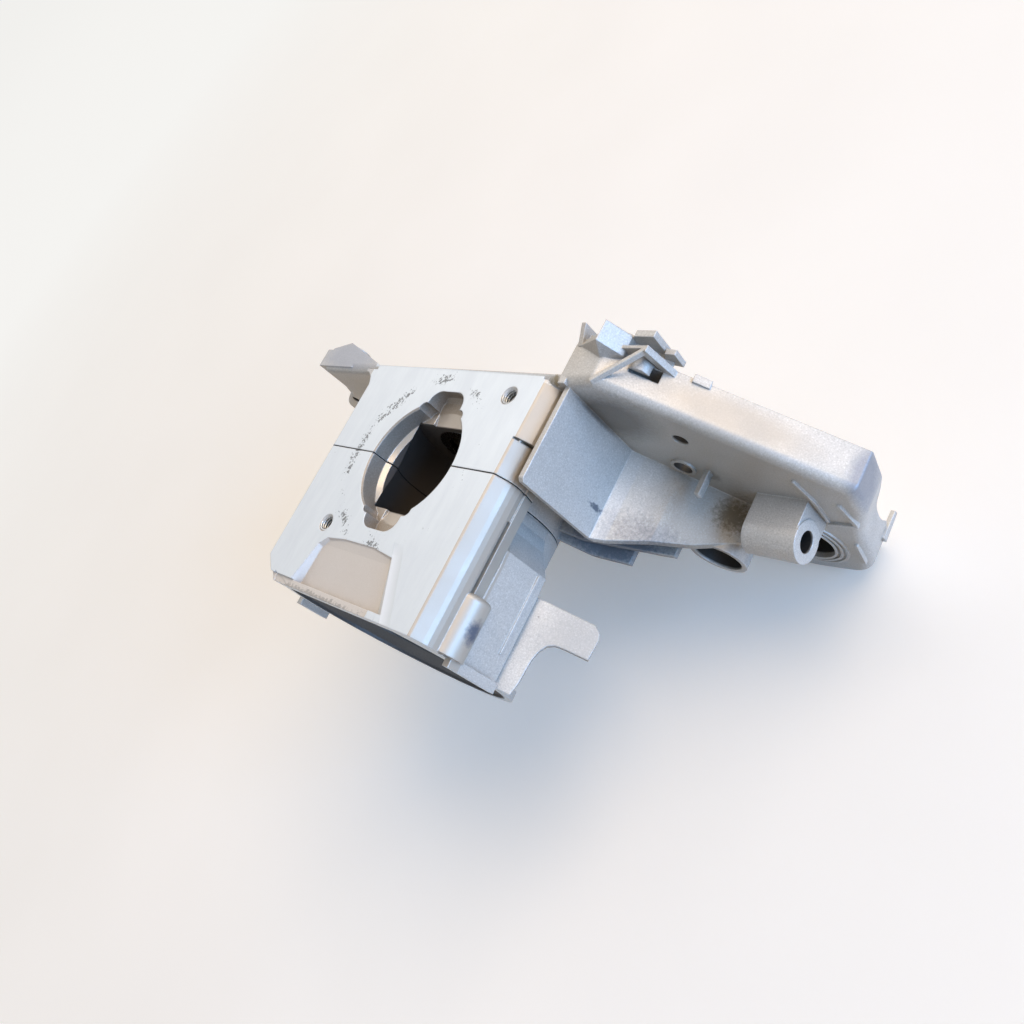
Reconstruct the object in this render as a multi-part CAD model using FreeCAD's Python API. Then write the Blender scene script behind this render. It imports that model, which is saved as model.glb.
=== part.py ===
# Engine crankcase: two cast halves split across the crankshaft, with their gasket, screws, dowels,
# main bearings and seals. Millimetres. X runs along the split line towards the fan duct, Y along the
# crankshaft towards the flywheel, Z is the normal of the cylinder seat. The origin is where the
# crankshaft axis crosses the split.
import FreeCAD, Part
import math
import os

V = FreeCAD.Vector

# Cylinder seat (the deck)
deckZ = 27.0
deckThick = 5.0
deckLeft = -44.7
deckRight = 39.2
deckFront = -49.5
deckBack = 32.7
cornerX = 8.8
cornerY = 7.5
spigotR = 20.0
spigotDepth = 6.0
chamberMouthR = 18.3
ledgeHigh = 1.2
tappedMidX = 2.5
tappedMidY = -0.9
tappedX = 26.3
tappedY = 25.7
tappedR = 2.5
tappedDepth = 13.0
portLeft = -6.6
portRight = 10.6
portReach = 24.4
portEdgeDepth = 5.0

# Split
gasketThick = 0.4
splitY = gasketThick / 2

# Crank chamber and bearings
chamberR = 25.0
chamberHalf = 15.5
chamberWall = 7.5
bearingR = 17.5
bearingBoreR = 7.5
bearingWide = 11.0
ballR = 3.0
ballPitchR = 12.5
ballCount = 8
sealR = 14.0
sealWide = 5.0
sealLipR = 7.8
sealRest = 1.0
sealRestR = 12.4
hubWall = 5.0
seatFit = 0.02

# Clutch bell, its middle set a little off the crankshaft
bellX = -2.0
bellZ = -3.0
bellR = 38.6
bellLipR = 40.8
bellWall = 3.7
bellFloorY = -28.0
flareStartY = -18.0
flareEndY = -31.0
sideX = 41.3
sideLowZ = -7.4
rimTabHigh = 2.2
earSlope = 39.0

# Right hand side rail
railZ = 21.9
railX = 42.5
railRaisedX = 44.2
railStepY = 11.4
padX = 40.2
padZ = 13.4
padR = 5.8

# Fan tray and its rim
trayY = 30.0
trayThick = 2.6
trayRimY = 42.6
trayWall = 2.6
trayEdgeR = 3.0
slope = math.radians(37.4)
bandX = 58.4
bandZ = 28.2

# Duct walls
ductX = 48.8
ductThick = 1.8
ductTopZ = 25.0
ductLowZ = -7.6

# Boss and tube
bossY = 20.6
bossZ = -29.6
bossR = 6.2
bossBoreR = 3.2
bossLeft = 84.1
bossRight = 100.8
tubeX = 70.2
tubeZ = -38.3
tubeR = 9.0
tubeWall = 1.6
tubeMouthY = 14.0

# Fasteners
screwR = 2.5
screwHoleR = 2.75
screwHeadR = 4.25
screwHeadHigh = 5.0
screwLong = 38.0
screwBossR = 5.6
screwSpots = [(31.0, 16.0), (-33.0, 14.0), (-32.5, -12.0), (-21.0, -27.5), (0.5, -34.4)]
dowelR = 2.5
dowelLong = 10.0
dowelBossR = 5.2
dowelSpots = [(37.6, 18.6), (-11.5, -32.6)]


# Basic solids

def box(x0, x1, y0, y1, z0, z1):
    return Part.makeBox(x1 - x0, y1 - y0, z1 - z0, V(x0, y0, z0))


def cylX(r, y, z, x0, x1):
    return Part.makeCylinder(r, x1 - x0, V(x0, y, z), V(1, 0, 0))


def cylY(r, x, z, y0, y1):
    return Part.makeCylinder(r, y1 - y0, V(x, y0, z), V(0, 1, 0))


def cylZ(r, x, y, z0, z1):
    return Part.makeCylinder(r, z1 - z0, V(x, y, z0), V(0, 0, 1))


def ringY(rOut, rIn, y0, y1, x=0.0, z=0.0):
    return cylY(rOut, x, z, y0, y1).cut(cylY(rIn, x, z, y0 - 1, y1 + 1))


def flat(points, toPoint):
    ring = [toPoint(a, b) for a, b in points]
    return Part.Face(Part.makePolygon(ring + ring[:1]))


def prismX(points, x0, x1):
    return flat(points, lambda y, z: V(x0, y, z)).extrude(V(x1 - x0, 0, 0))


def prismY(points, y0, y1):
    return flat(points, lambda x, z: V(x, y0, z)).extrude(V(0, y1 - y0, 0))


def prismZ(points, z0, z1):
    return flat(points, lambda x, y: V(x, y, z0)).extrude(V(0, 0, z1 - z0))


def turned(points):
    face = flat(points, lambda r, y: V(r, y, 0))
    return face.revolve(V(0, 0, 0), V(0, 1, 0), 360)


def belowDeck():
    return box(-200, 200, -200, 200, -200, deckZ)


def joined(shapes):
    body = shapes[0]
    for shape in shapes[1:]:
        body = body.fuse(shape)
    return body


def carved(body, cuts):
    for cut in cuts:
        body = body.cut(cut)
    return body


def facet(corners, depth):
    """A flat plate on three or four corners, extruded by the vector depth."""
    ring = [V(*c) for c in corners]
    return Part.Face(Part.makePolygon(ring + ring[:1])).extrude(V(*depth))


def lofted(lower, upper):
    """A straight-sided solid between two rings of corners."""
    rings = [[V(*c) for c in ring] for ring in (lower, upper)]
    return Part.makeLoft([Part.makePolygon(ring + ring[:1]) for ring in rings], True, True)


def roundedFace(corners, y):
    """corners are (x, z, radius); straight runs joined by tangent arcs in the plane y."""
    points = [V(x, y, z) for x, z, r in corners]
    ends = []
    for i, (x, z, r) in enumerate(corners):
        here = points[i]
        back = (points[i - 1] - here).normalize()
        ahead = (points[(i + 1) % len(points)] - here).normalize()
        half = back.getAngle(ahead) / 2
        reach = r / math.tan(half)
        toMiddle = (back + ahead).normalize() * (r / math.sin(half) - r)
        ends.append((here + back * reach, here + toMiddle, here + ahead * reach))
    edges = []
    for i, (start, middle, end) in enumerate(ends):
        edges.append(Part.Arc(start, middle, end).toShape())
        edges.append(Part.makeLine(end, ends[(i + 1) % len(ends)][0]))
    return Part.Face(Part.Wire(edges))


# Points measured along the tray's sloping top: along it, and above it

def onSlope(along, above):
    x = bandX + along * math.cos(slope) + above * math.sin(slope)
    z = bandZ - along * math.sin(slope) + above * math.cos(slope)
    return (x, z)


def prismSlope(points, y0, y1):
    return prismY([onSlope(a, b) for a, b in points], y0, y1)


# Deck with its spigot bore, transfer ports and tapped holes

def deckPlan():
    return [
        (deckLeft, deckFront + cornerY),
        (deckLeft + cornerX, deckFront),
        (deckRight, deckFront),
        (deckRight, deckBack),
        (deckLeft, deckBack),
    ]


def deckBlock(y0, y1):
    plate = prismZ(deckPlan(), deckZ - deckThick, deckZ)
    return plate.common(box(-99, 99, y0, y1, 0, 99))


def railSection(outer, top):
    """Sloping top, rounded side, dark groove, then a rib whose underside leans in to the wall."""
    return [
        (20.0, 21.0),
        (20.0, deckZ),
        (top, deckZ),
        (top + 0.7, deckZ - 0.4),
        (outer - 0.5, railZ + 1.6),
        (outer + 0.2, railZ + 0.3),
        (outer + 0.5, railZ - 1.4),
        (outer + 0.5, railZ - 3.6),
        (outer + 0.1, railZ - 4.6),
        (outer - 1.3, railZ - 5.0),
        (outer - 1.3, railZ - 5.7),
        (outer + 0.2, railZ - 6.0),
        (outer, railZ - 6.5),
        (outer - 1.4, railZ - 10.7),
        (28.0, 4.0),
        (20.0, 8.0),
    ]


def leftSection():
    return [
        (-20.0, deckZ),
        (-20.0, 8.0),
        (-30.0, 6.0),
        (deckLeft + 3.0, 10.0),
        (deckLeft, 13.0),
        (deckLeft, deckZ),
    ]


def portCut(side):
    floorIn = deckZ - portEdgeDepth - 2.4
    floorOut = deckZ - portEdgeDepth
    section = [
        (side * (chamberHalf - 6), deckZ + 1),
        (side * (chamberHalf - 6), floorIn),
        (side * chamberHalf, floorIn),
        (side * (portReach - 1.2), floorOut),
        (side * portReach, floorOut + 1.5),
        (side * portReach, deckZ + 1),
    ]
    corner = 5.0
    plan = box(portLeft, portRight, -portReach, portReach, floorIn - 1, deckZ + 2)
    upright = [e for e in plan.Edges if abs(e.tangentAt(e.FirstParameter).z) > 0.9]
    plan = plan.makeFillet(corner, upright)
    return prismX(section, portLeft - 1, portRight + 1).common(plan)


def portMouth(side):
    """The port widens where it meets the spigot bore."""
    y = side * 17.4
    left = cylZ(2.6, portLeft - 0.4, y, deckZ - spigotDepth, deckZ + 1)
    right = cylZ(2.6, portRight + 0.2, y - side * 1.6, deckZ - spigotDepth, deckZ + 1)
    return left.fuse(right)


def tappedSpot(side):
    return (tappedMidX + side * tappedX, tappedMidY + side * tappedY)


def deckCuts(side):
    x, y = tappedSpot(side)
    seatZ = deckZ - spigotDepth
    upper = cylZ(spigotR, 0, 0, seatZ, deckZ + 1)
    ledge = Part.makeCone(chamberMouthR, spigotR, ledgeHigh, V(0, 0, seatZ - ledgeHigh))
    ledge = ledge.fuse(cylZ(chamberMouthR, 0, 0, 5, seatZ))
    lower = ledge.common(box(-30, 30, -chamberHalf, chamberHalf, 0, 40))
    chamfer = Part.makeCone(spigotR, spigotR + 0.5, 0.5, V(0, 0, deckZ - 0.5))
    tapped = cylZ(tappedR, x, y, deckZ - tappedDepth, deckZ + 1)
    lead = Part.makeCone(tappedR, tappedR + 0.6, 0.6, V(x, y, deckZ - 0.6))
    return [upper, lower, chamfer, tapped, lead, portCut(side), portMouth(side)]


# Shared forms of both halves; side is -1 for the clutch half and +1 for the flywheel half

def span(side, near, far):
    return (near, far) if side > 0 else (-far, -near)


def screwAndDowelBosses(side, far):
    y0, y1 = span(side, splitY, far)
    shapes = [cylY(screwBossR, x, z, y0, y1) for x, z in screwSpots]
    y0, y1 = span(side, splitY, 9.0)
    shapes += [cylY(dowelBossR, x, z, y0, y1) for x, z in dowelSpots]
    return shapes


def bearingCuts(side):
    seat = chamberHalf + bearingWide
    cuts = []
    for r, near, far in (
        (chamberR, 0.0, chamberHalf),
        (bearingR, chamberHalf - 1, seat),
        (sealRestR, seat - 1, seat + sealRest + 1),
        (sealR, seat + sealRest, seat + sealRest + 30),
    ):
        y0, y1 = span(side, near, far)
        cuts.append(cylY(r, 0, 0, y0, y1))
    return cuts


def dowelHoles(side):
    y0, y1 = span(side, 0.0, dowelLong / 2 + 0.3)
    return [cylY(dowelR, x, z, y0, y1) for x, z in dowelSpots]


# Clutch side half

def bellShell():
    """The crank chamber's wall, flaring into the bell, whose middle sits a little off the crankshaft."""
    outer = chamberR + chamberWall
    chamber = turned([(0.0, -splitY), (outer, -splitY), (outer, flareEndY), (0.0, flareEndY)])
    profile = [
        (0.0, flareStartY),
        (outer - 3.0, flareStartY),
        (outer - 1.0, flareStartY - 1.5),
        (outer + 2.0, flareStartY - 6.0),
        (bellR - 1.4, flareStartY - 9.5),
        (bellR, flareEndY),
        (bellR, deckFront + 3.4),
        (bellLipR, deckFront + 3.0),
        (bellLipR, deckFront),
        (0.0, deckFront),
    ]
    bell = turned(profile)
    bell.translate(V(bellX, 0, bellZ))
    return chamber.fuse(bell).common(belowDeck())


def bellSides():
    """The flat outer side walls that stand out from the round bell."""
    right = [(28.0, -0.8), (32.7, -0.8), (33.3, -4.0), (35.2, -8.0), (38.2, -12.0), (41.0, -15.4),
             (sideX - 0.2, -17.4), (sideX, -20.0), (sideX, deckFront), (28.0, deckFront)]
    left = [(-28.0, -0.8), (-32.7, -0.8), (-34.0, -8.0), (-38.0, -14.0), (-41.5, -20.0),
            (deckLeft + 0.4, -24.0), (deckLeft + 0.4, deckFront + cornerY), (deckLeft + cornerX, deckFront),
            (-28.0, deckFront)]
    return [prismZ(right, sideLowZ, 11.0), prismZ(left, -2.0, 14.0)]


def bellCavity():
    inside = bellR - bellWall
    profile = [
        (0.0, bellFloorY),
        (inside - 4.0, bellFloorY),
        (inside, bellFloorY - 4.0),
        (inside, deckFront + 4.0),
        (bellLipR - 3.0, deckFront + 1.0),
        (bellLipR - 3.0, deckFront - 2),
        (0.0, deckFront - 2),
    ]
    cavity = turned(profile)
    cavity.translate(V(bellX, 0, bellZ))
    return cavity.common(box(-60, 60, -70, 0, -60, deckZ - deckThick))


def bellFloorPockets():
    """The floor of the bell is hollowed between the hub and the chamber wall, with six ribs left."""
    ring = ringY(chamberR + 4.0, sealR + hubWall + 1.5, bellFloorY - 1, -chamberHalf - 4.0)
    ring = ring.common(box(-50, 50, -50, 0, -50, 12.0))
    ribs = []
    for i in range(6):
        rib = box(-1.6, 1.6, bellFloorY - 2, -chamberHalf, 0, 40)
        rib.rotate(V(0, 0, 0), V(0, 1, 0), 30 + 60 * i)
        ribs.append(rib)
    keep = [cylY(screwBossR, x, z, bellFloorY - 2, -chamberHalf) for x, z in screwSpots]
    return ring.cut(joined(ribs + keep))


def castRecess():
    """The rough cast pocket in the front of the deck: shallow at the back, with a wide bevel on its right."""
    top = deckZ + 0.1
    upper = [(-25.8, -47.2, top), (-21.6, -33.6, top), (-18.6, -31.0, top), (-9.2, -29.9, top),
             (6.0, -29.7, top), (16.8, -31.0, top), (25.0, -47.2, top)]
    low = deckZ - 4.2
    lower = [(-23.4, -47.2, low), (-19.4, -34.6, low), (-16.6, -32.6, low), (-8.8, -31.8, low),
             (4.8, -31.8, low), (11.6, -32.8, low), (17.4, -47.2, low)]
    wedge = prismX([(-28.0, 28.0), (-28.0, 26.9), (-33.0, 25.6), (-47.2, 23.9), (-47.2, 28.0)], -30, 30)
    rim = box(-42.6, 18.6, deckFront - 2, -47.0, deckZ - 0.9, deckZ + 1)
    notch = prismZ([(-36.4, -46.4), (-25.4, -49.8), (-35.6, -49.8)], deckZ - 1.2, deckZ + 1)
    return [lofted(lower, upper).common(wedge), rim, notch]


def ear():
    """The flange strip along the bell with the ear at its inner end, both in one sloping plane."""
    plate = prismZ(
        [(-7.0, -20.8), (18.6, -20.8), (20.6, -22.4), (21.3, -24.2), (20.9, -30.8), (13.6, -30.9),
         (10.6, -31.2), (8.6, -32.4), (7.2, -34.8), (6.4, -38.0), (6.0, deckFront + 4), (5.2, deckFront),
         (-7.0, deckFront)],
        -2.8, 0.0)
    plate.rotate(V(0, 0, 0), V(0, 1, 0), earSlope)
    plate.translate(V(39.6, 0, -9.1))
    return plate


def clutchSideHalf():
    front, split = deckFront, -splitY
    shapes = [bellShell(), deckBlock(front, split)] + bellSides()
    shapes.append(prismY(railSection(railX, deckRight), front, split))
    shapes.append(prismY(leftSection(), front + cornerY, split))
    side = [(30.0, sideLowZ), (sideX, sideLowZ), (sideX, 9.6), (railX - 1.4, railZ - 10.7), (30.0, railZ)]
    shapes.append(prismY(side, front, -24.0))
    side = [(deckLeft + 14, -2.0), (deckLeft + 0.6, -2.0), (deckLeft + 0.6, 14.0), (deckLeft + 14, railZ)]
    shapes.append(prismY(side, front + cornerY, -24.0))
    pad = cylY(padR, padX, padZ, front + 0.4, -31.2)
    pad = pad.makeFillet(1.6, [e for e in pad.Edges if abs(e.BoundBox.YMin + 31.2) < 0.01])
    shapes.append(pad.common(box(36.0, 60.0, front, -31.0, 0, 30)))
    shapes.append(box(sideX - 2.0, sideX + 0.6, -41.0, -16.0, -4.3, -3.5))
    shapes += screwAndDowelBosses(-1, chamberHalf + 6)
    shapes.append(ear())
    for x, z0, z1 in ((41.8, -5.8, 13.8), (-44.4, -3.0, 9.0)):
        shapes.append(box(x, x + 2.4, front - rimTabHigh, front + 1, z0, z1))
    body = carved(joined(shapes), [bellCavity(), bellFloorPockets()])
    hub = cylY(sealR + hubWall, 0, 0, bellFloorY - 6.0, -chamberHalf)
    x, y = tappedSpot(-1)
    stud = cylZ(5.2, x, y, deckZ - tappedDepth - 3, deckZ - 1)
    body = body.fuse([hub, stud])
    cuts = deckCuts(-1) + bearingCuts(-1) + dowelHoles(-1) + castRecess()
    for x, z in screwSpots:
        cuts.append(cylY(screwHoleR, x, z, bellFloorY - 8, 0))
        cuts.append(cylY(screwHeadR + 0.6, x, z, bellFloorY - screwHeadHigh - 8, bellFloorY))
    return carved(body, cuts)


# Flywheel side half

trayOutline = [
    (-82.6, 27.0, 2.0), (-82.8, 11.5, 5.0), (-99.2, 1.5, 3.0), (-99.6, -20.0, 20.0), (-66.0, -71.6, 26.0),
    (84.0, -70.8, 12.0), (100.6, -68.6, 9.0), (104.9, -57.0, 12.0), (108.4, -41.7, 20.0),
    (114.0, -29.0, 12.0), (116.4, bandZ - (116.4 - bandX) * math.tan(slope), 0.8), (bandX, bandZ, 2.0),
    (45.6, 27.2, 2.5),
]
coverSpots = [(-76.5, 19.5), (-58.0, -60.0), (90.0, -62.5), (104.5, -20.0)]
coilSpots = [(-56.0, -8.0), (-52.0, -32.0)]
cupX = 86.0
cupZ = -50.0
cupR = 10.2


def trayDish():
    front = roundedFace(trayOutline, trayY)
    dish = front.extrude(V(0, trayRimY - trayY, 0))
    lip = [e for e in dish.Edges
           if abs(e.BoundBox.YMin - trayY) < 0.01 and abs(e.BoundBox.YMax - trayY) < 0.01]
    dish = dish.makeFillet(trayEdgeR, lip)
    hollow = roundedFace(trayOutline, trayY + trayThick).makeOffset2D(-trayWall)
    hollow = Part.Face(hollow.Wires[0]) if not hollow.Faces else hollow.Faces[0]
    dish = dish.cut(hollow.extrude(V(0, 20, 0)))
    airGap = prismZ([(-90.0, 50.0), (-90.0, 37.0), (-84.2, 38.2), (-70.6, 41.6),
                     (deckLeft - 1.8, deckBack + 0.7), (deckLeft, deckBack), (45.5, deckBack),
                     (45.5, 50.0)], 12, 40)
    bite = cylX(20.0, trayRimY + 17.4, -46.0, 96, 130)
    return carved(dish, [airGap, bite])


def wing():
    """The wing's sharp outer corner above its lug, and the hollow corner where it leaves the deck."""
    corner = prismY([(-84.5, 27.0), (-84.5, 13.0), (-86.4, 9.4), (-88.0, 3.0), (-78.0, 3.0), (-62.0, 14.0),
                     (-62.0, 27.0)], trayY + 1.2, trayY + 4.6)
    tip = prismY([(-84.5, 27.0), (-84.5, 13.0), (-81.0, 13.0), (-81.0, 27.0)], trayY + 4.0, 38.4)
    plan = [(-50.7, trayY), (-49.0, 29.7), (-46.5, 28.0), (-45.0, 25.4), (-44.6, 24.0), (-43.0, 24.0),
            (-43.0, 31.0), (-50.7, 31.0)]
    return [corner, tip, prismZ(plan, 10.5, deckZ)]


def slantedBlock(back):
    """The block on the raised corner: its foot runs over the flat top and on to the slope."""
    left, foot, right = (47.0, 42.3, 27.2), (57.5, 37.8, 27.7), (62.1, 39.6, 25.0)
    top, end = (59.1, 40.0, 33.7), (63.5, 40.0, 26.3)
    body = prismY([(53.5, 25.0), (top[0], top[2]), (end[0], end[2]), (62.6, 22.8)], 40.0, back)
    inward = (0.0, 2.8, -0.8)
    fronts = [facet(corners, inward) for corners in ((left, foot, top), (foot, end, top), (foot, right, end))]
    return joined([body] + fronts)


def upperCorner():
    """The raised corner of the tray: end wall, fin, slanted block, pointed hood and small tabs."""
    far, back = 48.0, trayRimY
    shapes = [box(45.6, 48.2, trayY, far, 16.0, 27.2), box(46.0, 60.0, back - 1.6, 46.4, 18.8, 26.4)]
    shapes += [slantedBlock(46.4), prismX([(42.0, 24.0), (42.0, 27.6), (far, 30.2), (far, 24.0)], 46.6, 48.2)]
    foot, peak, toe = onSlope(0.0, 0.0), onSlope(11.0, 7.6), onSlope(20.2, -0.4)
    wall = [onSlope(-2.0, -2.4), (foot[0] - 2.0, foot[1] - 0.8), peak, toe, onSlope(20.2, -2.4)]
    shapes.append(prismY(wall, back - 0.9, back))
    beam = [(foot[0], trayY + 0.4, foot[1]), (peak[0], back - 1.0, peak[1]),
            (peak[0] - 0.8, back - 0.1, peak[1]), (foot[0] - 0.8, trayY + 1.3, foot[1])]
    shapes.append(facet(beam, (0, 0, -1.6)))
    shapes.append(prismSlope([(10.8, 7.8), (20.4, -0.4), (17.6, -0.8), (10.0, 5.4)], back - 1.9, back))
    post = onSlope(10.9, -0.6)
    shapes.append(cylY(3.3, post[0], post[1], back - 4.9, back - 0.6))
    shapes.append(prismSlope([(1.6, -2.0), (20.0, -2.0), (20.0, -9.4), (1.6, -9.4)], trayY + 5.0, back - 1.0))
    shapes.append(prismSlope([(2.0, -2.8), (2.0, -0.9), (18.0, -0.9), (18.0, -2.8)], back - 1, far))
    shapes.append(prismY([(64.4, 26.8), (71.0, 26.6), (70.6, 17.4), (60.5, 21.0)], 46.0, far))
    shapes.append(prismY([(71.2, 20.6), (74.4, 20.2), (74.0, 14.6), (69.0, 16.0)], 45.0, 46.6))
    shapes.append(prismSlope([(24.4, -1.6), (24.4, 0.8), (29.4, 0.5), (29.4, -1.6)], back - 1.4, back + 1.0))
    return shapes


def hoodPocket():
    """The arched hollow under the hood, closed at its foot."""
    return prismSlope([(8.0, 1.0), (8.0, -7.4), (16.6, -7.4), (16.6, 1.0)], trayY + 7.2, trayRimY - 1.8)


def endDetails():
    """The finger at the end of the rim and the low ridges between the boss and the corner."""
    foot = trayRimY - 4.0
    finger = prismX([(foot, -59.4), (48.0, -59.8), (48.0, -61.2), (foot, -61.8)], 103.2, 104.6)
    y0, y1 = trayY - 0.8, trayY + 0.4
    ridges = [
        prismY([(101.0, -36.0), (110.4, -34.6), (110.2, -33.7), (101.0, -35.1)], y0, y1),
        prismY([(108.6, -23.0), (109.6, -23.4), (110.6, -33.8), (109.3, -33.8)], y0, y1),
        prismY([(100.2, -12.6), (100.9, -12.8), (102.6, -23.3), (102.1, -34.0), (101.3, -34.0),
                (101.7, -23.4)], y0, y1),
        prismY([(104.2, -46.8), (105.0, -47.0), (103.2, -58.6), (102.4, -58.2)], y0, y1),
    ]
    return [finger] + ridges


def mitred(run, thick):
    """The other face of a bent wall: each corner of the run, set off so that the wall keeps its thickness."""
    normals = []
    for (x0, z0, _), (x1, z1, _) in zip(run, run[1:]):
        normals.append(V(z1 - z0, x0 - x1, 0).normalize())
    corners = []
    for i, (x, z, _) in enumerate(run):
        before, after = normals[max(i - 1, 0)], normals[min(i, len(normals) - 1)]
        out = (before + after).normalize()
        reach = thick / out.dot(after)
        corners.append((x + out.x * reach, z + out.y * reach))
    return corners


def ductWalls():
    side = prismX([(splitY, ductTopZ - 1.0), (1.2, ductTopZ), (trayY + 1, ductTopZ), (trayY + 1, ductLowZ),
                   (splitY, ductLowZ)], ductX - ductThick, ductX)
    run = [(ductX, 0.0, splitY), (ductX, ductLowZ, splitY), (52.0, -10.6, 1.6), (61.4, -17.8, 7.0),
           (69.4, -25.2, 11.2), (78.6, -33.6, 18.2), (86.0, -41.0, 24.0)]
    section = [(x, z) for x, z, _ in run] + mitred(run, ductThick)[::-1]
    frontEdge = [(x, y) for x, _, y in run[1:]]
    endX, endY = frontEdge[-1]
    trim = prismZ(frontEdge + [(endX + 4, endY + 3), (endX + 4, -1), (ductX, -1)], -60, 0)
    return [side, prismY(section, splitY, trayY + 1).cut(trim)]


def lowerRibs():
    """Three stepped ribs that run from the crank chamber towards the tube, below the duct."""
    shapes = []
    ribs = (((26.0, -12.0), (44.0, -22.0), (61.0, -31.0), 3.0, 10.0),
            ((27.5, -17.0), (38.0, -25.5), (46.5, -30.8), 1.0, 7.0),
            ((24.0, -21.6), (29.5, -25.8), (35.0, -29.2), 3.0, 5.0))
    for a, b, c, y0, y1 in ribs:
        section = [a, b, c, (c[0], c[1] - 1.8), (b[0], b[1] - 1.8), (a[0], a[1] - 1.8)]
        trim = prismZ([(20.0, -1.0), (20.0, y0), (36.0, y0), (66.0, y1), (66.0, -1.0)], -60, 0)
        shapes.append(prismY(section, splitY, trayY + 1).cut(trim))
    return shapes


def bossAndTube():
    low, high = bossZ - bossR, bossZ + bossR
    side = [(trayY + 1, high), (bossY, high), (bossY, low), (trayY + 1, low)]
    block = prismX(side, bossLeft, bossRight - 0.5)
    barrel = cylX(bossR, bossY, bossZ, bossLeft, bossRight)
    tube = cylY(tubeR, tubeX, tubeZ, tubeMouthY, trayY + 1)
    cup = cylY(cupR + 2.0, cupX, cupZ, trayY + 1, trayY + 8.0)
    rings = [ringY(cupR + gap + 0.8, cupR + gap, trayY - rise, trayY + 1, cupX, cupZ)
             for gap, rise in ((0.0, 0.9), (1.6, 0.7), (3.2, 0.5))]
    inTray = roundedFace(trayOutline, trayY - 3).makeOffset2D(-1.0)
    inTray = Part.Face(inTray.Wires[0]) if not inTray.Faces else inTray.Faces[0]
    rings = [ring.common(inTray.extrude(V(0, 8, 0))) for ring in rings]
    lip = ringY(3.9, 2.9, trayY - 0.7, trayY + 0.5, 64.7, -13.2)
    hook = box(71.6, 73.3, 22.0, trayY + 1, -16.2, -13.8)
    hook = hook.makeFillet(0.7, [e for e in hook.Edges if abs(e.BoundBox.YMax - 22.0) < 0.01])
    return [block, barrel, tube, cup, lip, hook] + rings


def hiddenInside():
    """What the fan side of such a half has: hub ribs, coil posts and cover screw bosses."""
    shapes = [cylY(sealR + hubWall, 0, 0, chamberHalf, trayY + 5)]
    y0 = trayY + trayThick - 0.5
    for i in range(8):
        rib = box(-1.1, 1.1, y0, y0 + 3.5, sealR + hubWall - 1, 46.0)
        rib.rotate(V(0, 0, 0), V(0, 1, 0), 112.5 + 19.0 * i)
        shapes.append(rib)
    shapes += [cylY(4.2, x, z, y0, trayRimY - 2) for x, z in coilSpots]
    shapes += [cylY(5.0, x, z, y0, trayRimY) for x, z in coverSpots]
    return shapes


def flywheelSideHalf():
    shapes = [cylY(chamberR + chamberWall, 0, 0, splitY, trayY + 1).common(belowDeck())]
    shapes.append(deckBlock(splitY, deckBack))
    lower = railSection(railX, deckRight)
    shapes.append(prismY(lower, splitY, railStepY))
    shapes.append(prismY(railSection(railRaisedX, deckRight + 0.8), railStepY + 0.6, trayY + 1))
    step = box(0, railX - 1.6, 0, 40, 0, deckZ - 1.6)
    shapes.append(prismY(lower, railStepY, railStepY + 0.8).common(step))
    shapes.append(prismY(leftSection(), splitY, trayY + 1))
    shapes += screwAndDowelBosses(1, 15.0)
    x, y = tappedSpot(1)
    shapes.append(cylZ(5.2, x, y, deckZ - tappedDepth - 3, deckZ - 1))
    shapes += [trayDish()] + wing() + upperCorner() + endDetails()
    shapes += ductWalls() + lowerRibs() + bossAndTube() + hiddenInside()
    cuts = deckCuts(1) + bearingCuts(1) + dowelHoles(1)
    cuts += [cylY(screwHoleR - 0.35, x, z, 0, 12.0) for x, z in screwSpots]
    cuts.append(cylX(bossBoreR, bossY, bossZ, bossLeft - 1, bossRight + 1))
    cuts.append(cylY(tubeR - tubeWall, tubeX, tubeZ, tubeMouthY - 1, trayRimY))
    cuts.append(cylY(2.4, 72.7, 2.0, trayY - 1, trayRimY))
    cuts.append(cylY(2.9, 64.7, -13.2, trayY - 2, trayRimY))
    cuts.append(cylY(cupR, cupX, cupZ, trayY - 3, trayY + 5.8))
    cuts.append(hoodPocket())
    cuts.append(cylY(2.0, -85.9, 5.2, trayY - 1, trayY + 4.8))
    cuts += [cylY(2.1, x, z, trayRimY - 10, trayRimY + 1) for x, z in coverSpots]
    cuts += [cylY(1.7, x, z, trayRimY - 9, trayRimY) for x, z in coilSpots]
    return carved(joined(shapes), cuts)


# Gasket: the outline of the joint face

def crankcaseGasket():
    y0, y1 = -splitY, splitY
    outer = chamberR + chamberWall
    body = joined([
        cylY(outer, 0, 0, y0, y1),
        prismY(railSection(railX, deckRight), y0, y1),
        prismY(leftSection(), y0, y1),
        box(-25, 25, y0, y1, 10, deckZ),
    ] + [cylY(screwBossR, x, z, y0, y1) for x, z in screwSpots]
      + [cylY(dowelBossR, x, z, y0, y1) for x, z in dowelSpots])
    cuts = [cylY(chamberR, 0, 0, y0 - 1, y1 + 1), box(-spigotR, spigotR, y0 - 1, y1 + 1, 5, deckZ + 1)]
    cuts += [cylY(screwHoleR, x, z, y0 - 1, y1 + 1) for x, z in screwSpots]
    cuts += [cylY(dowelR + 0.1, x, z, y0 - 1, y1 + 1) for x, z in dowelSpots]
    return body.common(belowDeck()).cut(cuts)


# Fasteners

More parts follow.
